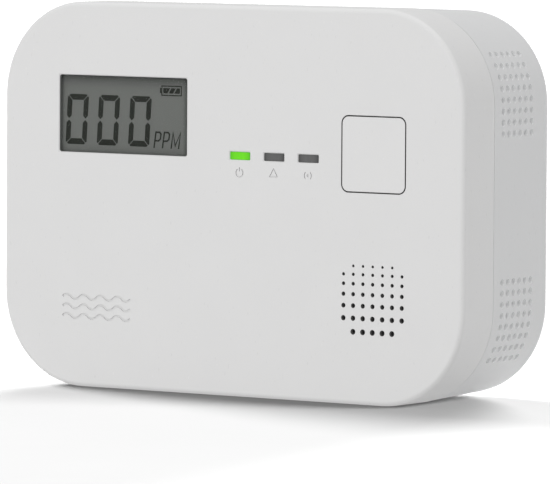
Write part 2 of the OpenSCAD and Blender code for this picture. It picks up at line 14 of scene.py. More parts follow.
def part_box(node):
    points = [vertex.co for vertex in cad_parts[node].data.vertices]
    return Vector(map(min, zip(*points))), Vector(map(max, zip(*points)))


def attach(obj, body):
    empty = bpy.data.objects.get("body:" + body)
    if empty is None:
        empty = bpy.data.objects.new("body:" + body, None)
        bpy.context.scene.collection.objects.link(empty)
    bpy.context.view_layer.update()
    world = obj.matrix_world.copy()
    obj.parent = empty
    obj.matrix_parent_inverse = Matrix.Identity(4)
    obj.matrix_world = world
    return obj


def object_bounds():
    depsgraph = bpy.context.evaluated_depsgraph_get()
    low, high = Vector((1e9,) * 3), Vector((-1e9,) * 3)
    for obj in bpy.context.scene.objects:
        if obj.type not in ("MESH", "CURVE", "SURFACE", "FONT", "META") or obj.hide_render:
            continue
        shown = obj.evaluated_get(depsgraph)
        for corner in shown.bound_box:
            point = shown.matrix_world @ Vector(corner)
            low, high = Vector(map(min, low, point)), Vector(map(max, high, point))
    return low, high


MM = 0.001

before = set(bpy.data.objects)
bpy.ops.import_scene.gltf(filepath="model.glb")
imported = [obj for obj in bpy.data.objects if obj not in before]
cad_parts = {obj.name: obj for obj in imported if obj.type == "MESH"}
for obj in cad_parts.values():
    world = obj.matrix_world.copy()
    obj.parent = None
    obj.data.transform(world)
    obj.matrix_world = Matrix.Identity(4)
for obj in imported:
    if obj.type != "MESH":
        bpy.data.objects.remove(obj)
cad_low, cad_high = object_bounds()
FACE = cad_low.y


# ---------------------------------------------------------------- camera

# Worked out from the photo: angles of the view, distance and aim in metres, lens and sensor in millimetres
AZIMUTH = math.radians(34.48)
ELEVATION = math.radians(3.663)
ROLL = math.radians(0.362)
DISTANCE = 1.3657
AIM = Vector((0.01211, FACE, 0.03372))
LENS = 418.8
SENSOR = 36.0


def make_camera():
    """Long lens from the right of the face and slightly above it."""
    back = Vector(
        (
            math.sin(AZIMUTH) * math.cos(ELEVATION),
            -math.cos(AZIMUTH) * math.cos(ELEVATION),
            math.sin(ELEVATION),
        )
    )
    level = Vector((0, 0, 1)).cross(back).normalized()
    upright = back.cross(level)
    right = math.cos(ROLL) * level + math.sin(ROLL) * upright
    up = back.cross(right)
    data = bpy.data.cameras.new("camera")
    data.lens = LENS
    data.sensor_width = SENSOR
    data.clip_start = 0.05
    data.clip_end = 50
    camera = bpy.data.objects.new("camera", data)
    bpy.context.scene.collection.objects.link(camera)
    turned = Matrix((right, up, back)).transposed().to_4x4()
    camera.matrix_world = Matrix.Translation(AIM + back * DISTANCE) @ turned
    bpy.context.scene.camera = camera


make_camera()


# ---------------------------------------------------------------- node materials


class Shader:
    """One node material and short ways to add nodes to it."""

    def __init__(self, name):
        self.material = bpy.data.materials.new(name)
        self.material.use_nodes = True
        self.tree = self.material.node_tree
        self.tree.nodes.clear()
        self.place = self.node("TexCoord").outputs["Object"]

    def node(self, kind, inputs=None, **settings):
        """A node of that kind. Inputs are values or sockets to link."""
        node = self.tree.nodes.new("ShaderNode" + kind)
        for key, value in settings.items():
            setattr(node, key, value)
        for key, value in (inputs or {}).items():
            socket = node.inputs[key]
            if isinstance(value, bpy.types.NodeSocket):
                self.tree.links.new(value, socket)
            else:
                socket.default_value = value
        return node

    def stretched(self, x, y, z):
        """The place on the object, scaled along each axis."""
        return self.node("Mapping", {"Vector": self.place, "Scale": (x, y, z)}).outputs["Vector"]

    def noise(self, size, detail=2.0, place=None):
        """Noise whose lumps are about size millimetres across."""
        inputs = {"Vector": place or self.place, "Scale": 1 / (size * MM), "Detail": detail}
        return self.node("TexNoise", inputs).outputs["Fac"]

    def cells(self, size, place=None, randomness=1.0):
        """Distance in a pattern of cells about size millimetres across."""
        inputs = {"Vector": place or self.place, "Scale": 1 / (size * MM), "Randomness": randomness}
        return self.node("TexVoronoi", inputs).outputs["Distance"]

    def calc(self, operation, a, b=0.0, c=0.0):
        """Result of a maths operation on up to three numbers."""
        return self.node("Math", {0: a, 1: b, 2: c}, operation=operation).outputs[0]

    def span(self, value, low, high, start=0.0, end=1.0, smooth=False):
        """Maps a value from low..high to start..end, with both ends held."""
        return self.node(
            "MapRange",
            {0: value, 1: low, 2: high, 3: start, 4: end},
            interpolation_type="SMOOTHSTEP" if smooth else "LINEAR",
        ).outputs[0]

    def mix(self, factor, first, second):
        """Blend of two colours."""
        return self.node("Mix", {0: factor, 6: first, 7: second}, data_type="RGBA").outputs[2]

    def axis(self, name):
        """One coordinate of the place on the object, in metres."""
        return self.node("SeparateXYZ", {0: self.place}).outputs[name]

    def facing(self, name):
        """One component of the surface normal, without bump, at rest."""
        normal = self.node("TexCoord").outputs["Normal"]
        return self.node("SeparateXYZ", {0: normal}).outputs[name]

    def bump(self, height, depth, strength=1.0):
        """Bump of that depth in millimetres."""
        inputs = {"Height": height, "Distance": depth * MM, "Strength": strength}
        return self.node("Bump", inputs).outputs[0]

    def principled(self, **inputs):
        """The main surface shader, with underscores for the spaces in its input names."""
        names = {key: key.replace("_", " ") for key in inputs}
        return self.node("BsdfPrincipled", {names[key]: value for key, value in inputs.items()})

    def done(self, shader):
        """Ends the tree in that shader and gives the material."""
        output = self.node("OutputMaterial")
        self.tree.links.new(shader.outputs[0], output.inputs["Surface"])
        return self.material


# Painted shade and painted light on narrow walls: dark in the openings of the face and round the button,
# pale in the side vents
GRILLE_PAINTED_SHADE = 0.22
BUTTON_GAP_PAINTED_SHADE = 0.09
VENT_PAINTED_LIGHT = 0.92

# The side vents lie further out than this from the middle of the case,
# and no further than this above and below its mid-height
VENTS_FROM = 54.5 * MM
VENTS_REACH = 34 * MM


def grey(value, warm=0.0):
    """Neutral colour, slightly warm if warm is above 0."""
    return (value * (1 + warm), value, value * (1 - warm), 1)


def sideways_walls(s, low, high):
    """1 on surfaces within that stretch of X and Z that don't face the front or the back, else 0."""
    mid = (low + high) / 2
    half = (high - low) / 2
    in_x = s.calc("COMPARE", s.axis("X"), mid.x, half.x)
    in_z = s.calc("COMPARE", s.axis("Z"), mid.z, half.z)
    across = s.span(s.calc("ABSOLUTE", s.facing("Y")), 0.2, 0.5, 1.0, 0.0)
    return s.calc("MULTIPLY", across, s.calc("MULTIPLY", in_x, in_z))


def vent_walls(s):
    """1 on the walls of the vent holes in both sides, else 0."""
    mid_z = (cad_low.z + cad_high.z) / 2
    beside = s.calc("GREATER_THAN", s.calc("ABSOLUTE", s.axis("X")), VENTS_FROM)
    between = s.calc("COMPARE", s.axis("Z"), mid_z, VENTS_REACH)
    across = s.span(s.calc("ABSOLUTE", s.facing("X")), 0.6, 0.7, 1.0, 0.0)
    return s.calc("MULTIPLY", across, s.calc("MULTIPLY", beside, between))


# Shell plastic: fine spark eroded grain with a few tiny upright flecks. Walls picked by a mask take a flat
# tone: painted shade in the face's openings and round the button, painted light in the side vents.
def shell_plastic(name, tone, warm=0.0, walls=None, painted_wall_tone=0.0):
    s = Shader(name)
    grain = s.noise(0.22, 3)
    cloud = s.noise(14, 2)
    tall = s.stretched(1, 1, 0.35)
    fleck = s.noise(0.5, 1, tall)
    dark = s.span(fleck, 0.22, 0.32, 0.6, 0.0)
    light = s.span(fleck, 0.70, 0.80, 0.0, 0.6)
    base = s.mix(cloud, grey(tone * 0.985, warm), grey(tone * 1.015, warm))
    colour = s.mix(dark, base, grey(tone * 0.9, warm))
    colour = s.mix(light, colour, grey(min(tone * 1.08, 0.95), warm))
    if walls:
        # Painted light and shade: the masked walls take one flat tone.
        colour = s.mix(walls(s), colour, grey(painted_wall_tone, warm))
    height = s.calc("ADD", grain, s.calc("MULTIPLY", fleck, 0.6))
    return s.done(
        s.principled(
            Base_Color=colour,
            Roughness=s.span(grain, 0.3, 0.7, 0.42, 0.56),
            Normal=s.bump(height, 0.012, 0.35),
            IOR=1.5,
        )
    )


# Plain moulded plastic for parts inside the case.
def inner_plastic(name, colour, roughness=0.45):
    s = Shader(name)
    grain = s.noise(0.4, 3)
    flow = s.noise(5, 2, s.stretched(1, 1, 0.3))
    pale = tuple(min(c * 1.12 + 0.004, 1) for c in colour)
    return s.done(
        s.principled(
            Base_Color=s.mix(flow, (*colour, 1), (*pale, 1)),
            Roughness=s.span(grain, 0.3, 0.7, roughness - 0.08, roughness + 0.08),
            Normal=s.bump(grain, 0.01, 0.4),
        )
    )


# Bare or plated metal with fine lines along one axis.
def metal(name, colour, roughness=0.28, along=(1, 0.04, 0.04), worn=0.12):
    s = Shader(name)
    lines = s.noise(0.08, 3, s.stretched(*along))
    stain = s.noise(2.5, 3)
    dull = tuple(c * (1 - worn) for c in colour)
    return s.done(
        s.principled(
            Base_Color=s.mix(stain, (*dull, 1), (*colour, 1)),
            Metallic=1.0,
            Roughness=s.span(lines, 0.3, 0.7, roughness - 0.08, roughness + 0.1),
            Normal=s.bump(lines, 0.004, 0.35),
        )
    )


# Foil label with a printed border and empty fields.
def label_foil(name, low, high):
    s = Shader(name)
    x = s.axis("X")
    z = s.axis("Z")
    mid_x = (low.x + high.x) / 2
    mid_z = (low.z + high.z) / 2
    half_w = (high.x - low.x) / 2
    half_h = (high.z - low.z) / 2
    from_side = s.calc("SUBTRACT", half_w, s.calc("ABSOLUTE", s.calc("SUBTRACT", x, mid_x)))
    from_top = s.calc("SUBTRACT", half_h, s.calc("ABSOLUTE", s.calc("SUBTRACT", z, mid_z)))
    inset = s.calc("MINIMUM", from_side, from_top)
    margin = 0.9 * MM
    half_column = 6.78 * MM
    half_line = 0.1 * MM
    border = s.calc("COMPARE", inset, margin, 0.14 * MM)
    columns = s.calc("PINGPONG", s.calc("SUBTRACT", x, low.x + margin), half_column)
    column_line = s.calc("LESS_THAN", columns, half_line)
    row_line = s.calc("COMPARE", z, mid_z, half_line)
    inside = s.calc("GREATER_THAN", inset, margin)
    lines = s.calc("MULTIPLY", s.calc("MAXIMUM", column_line, row_line), inside)
    ink = s.calc("MAXIMUM", border, lines)
    fibre = s.noise(0.5, 3, s.stretched(0.15, 1, 1))
    paper = s.mix(fibre, (0.62, 0.63, 0.64, 1), (0.70, 0.71, 0.72, 1))
    return s.done(
        s.principled(
            Base_Color=s.mix(ink, paper, (0.09, 0.09, 0.1, 1)),
            Roughness=s.span(fibre, 0.3, 0.7, 0.3, 0.42),
            Normal=s.bump(fibre, 0.006, 0.3),
        )
    )


# Clear window: weak gloss over what lies behind it, and edges painted dark grey for the shade in the
# window's recess.
def clear_lens(name):
    s = Shader(name)
    across = s.calc("ABSOLUTE", s.facing("Y"))
    edge = s.span(across, 0.3, 0.7, 1.0, 0.0)
    scratch = s.noise(0.3, 2, s.stretched(1, 1, 0.1))
    through = s.node("BsdfTransparent", {"Color": (0.97, 0.975, 0.97, 1)})
    sleek = s.span(scratch, 0.3, 0.7, 0.06, 0.12)
    gloss = s.node("BsdfGlossy", {"Color": (1, 1, 1, 1), "Roughness": sleek})
    sheen = s.calc("MULTIPLY", s.node("Fresnel", {"IOR": 1.49}).outputs[0], 0.03)
    pane = s.node("MixShader", {0: sheen, 1: through.outputs[0], 2: gloss.outputs[0]})
    # Painted shade: the lens's sides are a flat dark grey.
    dull = s.node("BsdfDiffuse", {"Color": (0.16, 0.165, 0.16, 1)})
    return s.done(s.node("MixShader", {0: edge, 1: pane.outputs[0], 2: dull.outputs[0]}))


# Liquid crystal panel: grey-green, with painted shade from the window's recess: darker towards the edges
# of the window, most of all at its top.
def crystal_panel(name, low, high):
    s = Shader(name)
    x = s.axis("X")
    grain = s.noise(0.12, 2)
    from_top = s.calc("SUBTRACT", high.z, s.axis("Z"))
    from_left = s.calc("SUBTRACT", x, low.x)
    from_right = s.calc("SUBTRACT", high.x, x)
    # Painted shade: the panel darkens under the top, sides and bottom of the window's recess.
    painted_top_shade = s.calc("POWER", s.span(from_top, 1.2 * MM, 5.2 * MM, 1.0, 0.0), 2.2)
    top = s.span(painted_top_shade, 0.0, 1.0, 1.0, 0.29)
    bottom = s.span(from_top, 16.0 * MM, 18.1 * MM, 1.0, 0.84, smooth=True)
    left = s.span(from_left, 0.6 * MM, 3.2 * MM, 0.72, 1.0, smooth=True)
    right = s.span(from_right, 1.6 * MM, 2.9 * MM, 0.55, 1.0, smooth=True)
    # Product of the painted shade at the four edges; 1 where the panel is unshaded.
    lit = s.calc("MULTIPLY", s.calc("MULTIPLY", top, bottom), s.calc("MULTIPLY", left, right))
    base = s.mix(lit, (0.0, 0.0, 0.0, 1), (0.161, 0.166, 0.159, 1))
    colour = s.mix(s.span(grain, 0.3, 0.7, 0, 0.12), base, (0.05, 0.052, 0.049, 1))
    return s.done(
        s.principled(
            Base_Color=colour,
            Roughness=s.span(grain, 0.3, 0.7, 0.5, 0.62),
            Normal=s.bump(grain, 0.004, 0.3),
            Specular_IOR_Level=0.15,
        )
    )


# Dark figures of the panel.
def crystal_figures(name):
    s = Shader(name)
    grain = s.noise(0.2, 2)
    return s.done(
        s.principled(
            Base_Color=s.mix(grain, (0.013, 0.015, 0.012, 1), (0.022, 0.024, 0.020, 1)),
            Roughness=s.span(grain, 0.3, 0.7, 0.6, 0.7),
            Specular_IOR_Level=0.1,
        )
    )


# Tip of a light pipe: brighter in its middle, darker towards its ends.
def light_pipe(name, low, high, rim, core, glow=0.0):
    s = Shader(name)
    mid = (low + high) / 2
    half = (high - low) / 2
    along = s.calc("DIVIDE", s.calc("SUBTRACT", s.axis("X"), mid.x), half.x)
    up = s.calc("DIVIDE", s.calc("SUBTRACT", s.axis("Z"), mid.z), half.z)
    across = s.calc("POWER", s.calc("ABSOLUTE", along), 2.0)
    upwards = s.calc("MULTIPLY", s.calc("POWER", s.calc("ABSOLUTE", up), 4.0), 0.5)
    spread = s.calc("ADD", across, upwards)
    lit = s.span(spread, 0.0, 0.9, 1.0, 0.0, smooth=True)
    ribs = s.noise(0.5, 2, s.stretched(1, 1, 0.15))
    factor = s.calc("MULTIPLY", lit, s.span(ribs, 0.3, 0.7, 0.8, 1.0))
    colour = s.mix(factor, (*rim, 1), (*core, 1))
    inputs = {
        "Base_Color": colour,
        "Roughness": s.span(ribs, 0.3, 0.7, 0.3, 0.42),
        "Normal": s.bump(ribs, 0.01, 0.4),
        "Specular_IOR_Level": 0.15,
    }
    if glow:
        inputs["Emission_Color"] = colour
        inputs["Emission_Strength"] = glow
    return s.done(s.principled(**inputs))


# Small lamp on the board: tinted resin with metal ends.
def lamp_resin(name, low, high, colour):
    s = Shader(name)
    mid_x = (low.x + high.x) / 2
    out = s.calc("ABSOLUTE", s.calc("SUBTRACT", s.axis("X"), mid_x))
    end = s.span(out, 1.25 * MM, 1.3 * MM)
    cloud = s.noise(0.8, 2)
    resin = s.mix(cloud, (*colour, 1), tuple(c * 0.7 for c in colour) + (1,))
    return s.done(
        s.principled(
            Base_Color=s.mix(end, resin, (0.72, 0.72, 0.7, 1)),
            Metallic=end,
            Roughness=s.span(cloud, 0.3, 0.7, 0.18, 0.3),
            Normal=s.bump(cloud, 0.01, 0.3),
        )
    )


# Circuit board: green resist over copper tracks, with small plated holes.
def board_resist(name):
    s = Shader(name)
    x = s.axis("X")
    z = s.axis("Z")
    block = s.cells(9, s.stretched(1, 0, 1))
    slope = s.span(s.noise(16, 1, s.stretched(1, 0, 1)), 0.49, 0.51)
    half_pitch = 0.6 * MM
    upright = s.calc("PINGPONG", x, half_pitch)
    level = s.calc("PINGPONG", z, half_pitch)
    across = s.calc("MULTIPLY", level, s.calc("SUBTRACT", 1, slope))
    choice = s.calc("ADD", s.calc("MULTIPLY", upright, slope), across)
    track = s.calc("MULTIPLY", s.span(choice, 0.3 * MM, 0.38 * MM), s.span(block, 0.28, 0.33))
    via = s.span(s.cells(5.5, s.stretched(1, 0, 1), randomness=0.9), 0.075, 0.085, 1.0, 0.0)
    weave = s.noise(0.5, 2, s.stretched(1, 1, 0.4))
    green = s.mix(track, (0.008, 0.085, 0.035, 1), (0.02, 0.16, 0.06, 1))
    green = s.mix(s.span(weave, 0.3, 0.7, 0, 0.25), green, (0.004, 0.06, 0.03, 1))
    height = s.calc("ADD", track, s.calc("MULTIPLY", weave, 0.3))
    return s.done(
        s.principled(
            Base_Color=s.mix(via, green, (0.6, 0.6, 0.58, 1)),
            Metallic=via,
            Roughness=s.span(weave, 0.3, 0.7, 0.25, 0.38),
            Normal=s.bump(height, 0.03, 0.5),
        )
    )


# Moulded chip body with metal leads outside it and a round mark in one corner.
def chip_package(name, low, high, body_w, body_h):
    s = Shader(name)
    mark_in = 0.9
    mid = (low + high) / 2
    dx = s.calc("SUBTRACT", s.axis("X"), mid.x)
    dz = s.calc("SUBTRACT", s.axis("Z"), mid.z)
    out_x = s.calc("SUBTRACT", s.calc("ABSOLUTE", dx), body_w / 2 * MM)
    out_z = s.calc("SUBTRACT", s.calc("ABSOLUTE", dz), body_h / 2 * MM)
    lead = s.span(s.calc("MAXIMUM", out_x, out_z), 0.0, 0.02 * MM)
    mark_x = s.calc("ADD", dx, (body_w / 2 - mark_in) * MM)
    mark_z = s.calc("SUBTRACT", dz, (body_h / 2 - mark_in) * MM)
    reach = s.calc("SQRT", s.calc("ADD", s.calc("POWER", mark_x, 2.0), s.calc("POWER", mark_z, 2.0)))
    mark = s.span(reach, 0.38 * MM, 0.42 * MM, 1.0, 0.0)
    grain = s.noise(0.15, 2)
    resin = s.mix(mark, (0.022, 0.022, 0.025, 1), (0.075, 0.075, 0.078, 1))
    return s.done(
        s.principled(
            Base_Color=s.mix(lead, resin, (0.68, 0.68, 0.66, 1)),
            Metallic=lead,
            Roughness=s.span(grain, 0.3, 0.7, 0.35, 0.55),
            Normal=s.bump(s.calc("SUBTRACT", grain, s.calc("MULTIPLY", mark, 0.8)), 0.02, 0.5),
        )
    )


# Row of chip parts 4 mm apart, each 2 mm long with tinned ends.
# X is moved on by a hundred parts, which keeps it above 0.
def chip_row(name, colour):
    s = Shader(name)
    pitch = 4 * MM
    along = s.calc("PINGPONG", s.calc("ADD", s.axis("X"), 100 * pitch), pitch / 2)
    end = s.span(along, 1.3 * MM, 1.34 * MM, 1.0, 0.0)
    grain = s.noise(0.2, 2)
    body = s.mix(grain, (*colour, 1), tuple(c * 0.8 for c in colour) + (1,))
    return s.done(
        s.principled(
            Base_Color=s.mix(end, body, (0.7, 0.7, 0.68, 1)),
            Metallic=end,
            Roughness=s.span(grain, 0.3, 0.7, 0.3, 0.5),
            Normal=s.bump(grain, 0.01, 0.4),
        )
    )


# Capacitor: dark sleeve with a pale stripe and a bare scored top.
def can_sleeve(name):
    s = Shader(name)
    top = s.span(s.facing("Y"), -0.6, -0.5, 1.0, 0.0)
    stripe = s.calc("LESS_THAN", s.facing("X"), -0.88)
    dull = s.noise(0.3, 2)
    sleeve = s.mix(stripe, (0.012, 0.018, 0.07, 1), (0.5, 0.52, 0.55, 1))
    return s.done(
        s.principled(
            Base_Color=s.mix(top, sleeve, (0.66, 0.66, 0.67, 1)),
            Metallic=top,
            Roughness=s.span(dull, 0.3, 0.7, 0.25, 0.38),
            Normal=s.bump(dull, 0.01, 0.4),
        )
    )


# Choke: dark ferrite ends and enamelled copper wire between them.
def ferrite_coil(name, low, high):
    s = Shader(name)
    y = s.axis("Y")
    end = 1.5 * MM
    wire_r = 0.18 * MM
    above = s.calc("GREATER_THAN", y, low.y + end)
    wire = s.calc("MULTIPLY", above, s.calc("LESS_THAN", y, high.y - end))
    turns = s.calc("PINGPONG", y, wire_r)
    height = s.calc("MULTIPLY", s.span(turns, 0.0, wire_r), wire)
    grain = s.noise(0.2, 3)
    stone = s.mix(grain, (0.03, 0.028, 0.028, 1), (0.06, 0.055, 0.052, 1))
    return s.done(
        s.principled(
            Base_Color=s.mix(wire, stone, (0.42, 0.12, 0.035, 1)),
            Metallic=s.calc("MULTIPLY", wire, 0.6),
            Roughness=s.span(grain, 0.3, 0.7, 0.35, 0.55),
            Normal=s.bump(s.calc("ADD", height, s.calc("MULTIPLY", grain, 0.2)), 0.09, 0.6),
        )
    )


# AA cell: dark wrap, a pale band next to its terminal, and bare steel ends.
def cell_wrap(name, low, high, terminal_left):
    s = Shader(name)
    x = s.axis("X")
    from_tip = s.calc("SUBTRACT", x, low.x) if terminal_left else s.calc("SUBTRACT", high.x, x)
    band_w = 13.5 * MM
    half_rim = 0.3 * MM
    band = s.calc("LESS_THAN", from_tip, band_w)
    rim = s.calc("COMPARE", from_tip, band_w + half_rim, half_rim)
    tip = s.calc("LESS_THAN", from_tip, 1.25 * MM)
    foot = s.calc("GREATER_THAN", from_tip, high.x - low.x - 0.7 * MM)
    bare = s.calc("MAXIMUM", tip, foot)
    fine = s.noise(0.12, 2, s.stretched(0.1, 1, 1))
    wrap = s.mix(band, (0.028, 0.034, 0.05, 1), (0.38, 0.40, 0.42, 1))
    wrap = s.mix(rim, wrap, (0.72, 0.72, 0.72, 1))
    wrap = s.mix(s.span(fine, 0.3, 0.7, 0, 0.25), wrap, (0.05, 0.06, 0.08, 1))
    return s.done(
        s.principled(
            Base_Color=s.mix(bare, wrap, (0.66, 0.66, 0.64, 1)),
            Metallic=s.span(bare, 0, 1, 0.55, 1.0),
            Roughness=s.span(fine, 0.3, 0.7, 0.24, 0.36),
            Normal=s.bump(fine, 0.006, 0.4),
        )
    )


# Fine dark cloth of crossed threads.
def dust_cloth(name):
    s = Shader(name)
    thread_w = 0.11 * MM
    warp = s.calc("PINGPONG", s.axis("X"), thread_w)
    weft = s.calc("PINGPONG", s.axis("Z"), thread_w)
    thread = s.calc("MAXIMUM", s.span(warp, 0, thread_w), s.span(weft, 0, thread_w))
    fuzz = s.noise(0.3, 3)
    return s.done(
        s.principled(
            Base_Color=s.mix(thread, (0.006, 0.006, 0.006, 1), (0.04, 0.04, 0.042, 1)),
            Roughness=s.span(fuzz, 0.3, 0.7, 0.75, 0.95),
            Normal=s.bump(s.calc("ADD", thread, s.calc("MULTIPLY", fuzz, 0.3)), 0.05, 0.8),
            Sheen_Weight=0.2,
        )
    )


# Closed cell foam.
def foam(name):
    s = Shader(name)
    cells = s.cells(0.35)
    fuzz = s.noise(0.6, 2)
    return s.done(
        s.principled(
            Base_Color=s.mix(cells, (0.03, 0.03, 0.033, 1), (0.07, 0.07, 0.075, 1)),
            Roughness=s.span(fuzz, 0.3, 0.7, 0.8, 0.95),
            Normal=s.bump(cells, 0.12, 0.8),
        )
    )


# Milky light guide with a grid of tiny dots.
def light_guide(name):
    s = Shader(name)
    dots = s.cells(0.9, s.stretched(1, 0, 1), randomness=0.0)
    milk = s.noise(3, 2)
    base = s.mix(milk, (0.74, 0.77, 0.75, 1), (0.8, 0.83, 0.81, 1))
    return s.done(
        s.principled(
            Base_Color=s.mix(s.span(dots, 0.2, 0.25, 0.5, 0.0), base, (0.92, 0.93, 0.92, 1)),
            Roughness=s.span(milk, 0.3, 0.7, 0.2, 0.3),
            Normal=s.bump(dots, 0.02, 0.4),
            Subsurface_Weight=0.2,
        )
    )


# ---------------------------------------------------------------- materials of the CAD pieces


def dress(node, material):
    """Gives a CAD node its finish in every material slot."""
    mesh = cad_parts[node].data
    if not mesh.materials:
        mesh.materials.append(material)
    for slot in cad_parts[node].material_slots:
        slot.material = material


def face_openings(s):
    """1 on the walls of the openings in the face, else 0."""
    low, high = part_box("front_cover")
    inset = Vector((9 * MM, 0, 9 * MM))
    return sideways_walls(s, low + inset, high - inset)


def button_edges(s):
    """1 on the four edges of the button, else 0."""
    return sideways_walls(s, *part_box("test_button"))


# Painted shade on the walls of the face's openings and round the button.
dress("front_cover", shell_plastic("cover_white", 0.715, 0.002, face_openings, GRILLE_PAINTED_SHADE))
dress("test_button", shell_plastic("button_white", 0.72, 0.002, button_edges, BUTTON_GAP_PAINTED_SHADE))
# Painted light on the walls of the side vents, which would otherwise lie in shade.
dress("rear_housing", shell_plastic("housing_white", 0.685, -0.004, vent_walls, VENT_PAINTED_LIGHT))
dress("battery_door", shell_plastic("door_white", 0.69, -0.003))
dress("rating_label", label_foil("label_foil", *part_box("rating_label")))
dress("display_lens", clear_lens("lens_acrylic"))
dress("lcd_glass", crystal_panel("crystal_panel", *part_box("lcd_glass")))
dress("lcd_backlight", light_guide("light_guide"))
dress("lcd_frame", inner_plastic("frame_ivory", (0.62, 0.61, 0.56)))

tinned = metal("tinned", (0.72, 0.72, 0.70), 0.3)
steel = metal("plated_steel", (0.62, 0.62, 0.61), 0.26, (0.2, 1, 0.2))
dress("lcd_pins", tinned)
dress("sounder_pins", tinned)
dress("housing_screws", steel)
dress("board_screws", steel)
contact = metal("spring_nickel", (0.74, 0.72, 0.68), 0.24, (0.2, 0.2, 1))
for node in ("battery_bridge", "battery_contact_positive", "battery_contact_negative"):
    dress(node, contact)

SMOKE_RIM = (0.05, 0.05, 0.05)
SMOKE_CORE = (0.13, 0.13, 0.13)
GREEN_RIM = (0.055, 0.36, 0.006)
GREEN_CORE = (0.12, 0.55, 0.010)
GREEN_GLOW = 0.42
for node in ("light_pipe_fault", "light_pipe_alarm"):
    dress(node, light_pipe(node + "_smoke", *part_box(node), SMOKE_RIM, SMOKE_CORE))
green = light_pipe(
    "light_pipe_power_green", *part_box("light_pipe_power"), GREEN_RIM, GREEN_CORE, GREEN_GLOW
)
dress("light_pipe_power", green)
for node, colour in (
    ("led_power", (0.15, 0.7, 0.12)),
    ("led_fault", (0.8, 0.55, 0.06)),
    ("led_alarm", (0.75, 0.06, 0.04)),
):
    dress(node, lamp_resin(node + "_resin", *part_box(node), colour))

dress("circuit_board", board_resist("board_green"))
dress("microcontroller", chip_package("controller_package", *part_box("microcontroller"), 10, 10))
dress("sensor_amplifier", chip_package("amplifier_package", *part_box("sensor_amplifier"), 4.9, 3.9))
dress("drive_transistor", chip_package("transistor_package", *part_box("drive_transistor"), 3, 1.5))
dress("chip_resistors", chip_row("resistor_black", (0.025, 0.025, 0.028)))
dress("chip_capacitors", chip_row("capacitor_tan", (0.42, 0.31, 0.2)))
dress("crystal", metal("crystal_can", (0.74, 0.74, 0.73), 0.2, (0.06, 1, 1)))
dress("electrolytic_capacitors", can_sleeve("capacitor_sleeve"))
dress("sounder_coil", ferrite_coil("choke", *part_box("sounder_coil")))
dress("tact_switch", metal("switch_cover", (0.5, 0.5, 0.5), 0.35))
dress("tact_plunger", inner_plastic("plunger_black", (0.02, 0.02, 0.022), 0.35))

dress("co_sensor_can", metal("sensor_can", (0.7, 0.7, 0.69), 0.3, (1, 0.06, 1)))
dress("co_sensor_cap", inner_plastic("sensor_cap", (0.7, 0.7, 0.67)))
dress("co_sensor_leads", metal("sensor_leads", (0.78, 0.62, 0.3), 0.25))
dress("sounder_housing", inner_plastic("sounder_black", (0.022, 0.022, 0.023), 0.4))
dress("sounder_lid", inner_plastic("sounder_lid_black", (0.026, 0.026, 0.027), 0.42))
dress("piezo_disc", metal("brass_disc", (0.74, 0.55, 0.22), 0.26))
dress("piezo_ceramic", metal("silvered_ceramic", (0.76, 0.75, 0.72), 0.4, (1, 1, 1), 0.2))
dress("sounder_gasket", foam("gasket_foam"))
dress("dust_mesh", dust_cloth("dust_cloth"))
dress("battery_cell_lower", cell_wrap("cell_lower_wrap", *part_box("battery_cell_lower"), True))
dress("battery_cell_upper", cell_wrap("cell_upper_wrap", *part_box("battery_cell_upper"), False))


# ---------------------------------------------------------------- figures of the display


def add_prism(bm, outline, front, back):
    """A flat closed piece with that outline in X and Z, in metres."""
    near = [bm.verts.new((x, front, z)) for x, z in outline]
    far = [bm.verts.new((x, back, z)) for x, z in outline]
    bm.faces.new(near)
    bm.faces.new(list(reversed(far)))
    count = len(outline)
    for i in range(count):
        j = (i + 1) % count
        bm.faces.new((near[j], near[i], far[i], far[j]))


def mesh_piece(name, bm, material, body):
    """Turns a finished bmesh into a piece that rides on a body."""
    bmesh.ops.recalc_face_normals(bm, faces=bm.faces)
    mesh = bpy.data.meshes.new(name)
    bm.to_mesh(mesh)
    bm.free()
    mesh.materials.append(material)
    piece = bpy.data.objects.new(name, mesh)
    bpy.context.scene.collection.objects.link(piece)
    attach(piece, body)


def ribbon(points, width):
    """Outline of an open line of that width, with mitred bends."""
    points = [Vector(p) for p in points]
    left, right = [], []
    for i, p in enumerate(points):
        before = (p - points[i - 1]).normalized() if i else None
        after = (points[i + 1] - p).normalized() if i + 1 < len(points) else None
        ahead = ((before or after) + (after or before)).normalized()
        side = Vector((-ahead.y, ahead.x))
        straight = before or after
        square = Vector((-straight.y, straight.x))
        reach = width / 2 / max(side.dot(square), 0.45)
        left.append(p + side * reach)
        right.append(p - side * reach)
    return [tuple(p) for p in left + right[::-1]]


# Lower left corner that the figures are measured from, and how thin and how leaning they are
WINDOW_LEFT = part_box("display_lens")[0].x - 0.05 * MM
WINDOW_LOW = 51.2 * MM
PANEL_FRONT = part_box("lcd_glass")[0].y
FIGURE_BACK = PANEL_FRONT - 0.006 * MM
FIGURE_FRONT = PANEL_FRONT - 0.03 * MM
LEAN = math.tan(math.radians(3.4))
LETTER_LEAN = math.tan(math.radians(8.5))

# Places of the figures in the window and sizes of a digit, in millimetres
DIGIT_LEFT = 1.06
DIGIT_LOW = 1.67
DIGIT_STEP = 8.4
DIGIT_WIDE = 5.65
DIGIT_TALL = 10.95
LETTER_LEFTS = (24.8, 27.05, 29.35)
LETTER_LOW = 1.5
BATTERY_LEFT = 26.7
BATTERY_LOW = 12.85


def placed(outline, x, z, lean):
    """Moves an outline in millimetres to its place in the window, leaning to the right, in metres."""
    return [(WINDOW_LEFT + (x + px + pz * lean) * MM, WINDOW_LOW + (z + pz) * MM) for px, pz in outline]


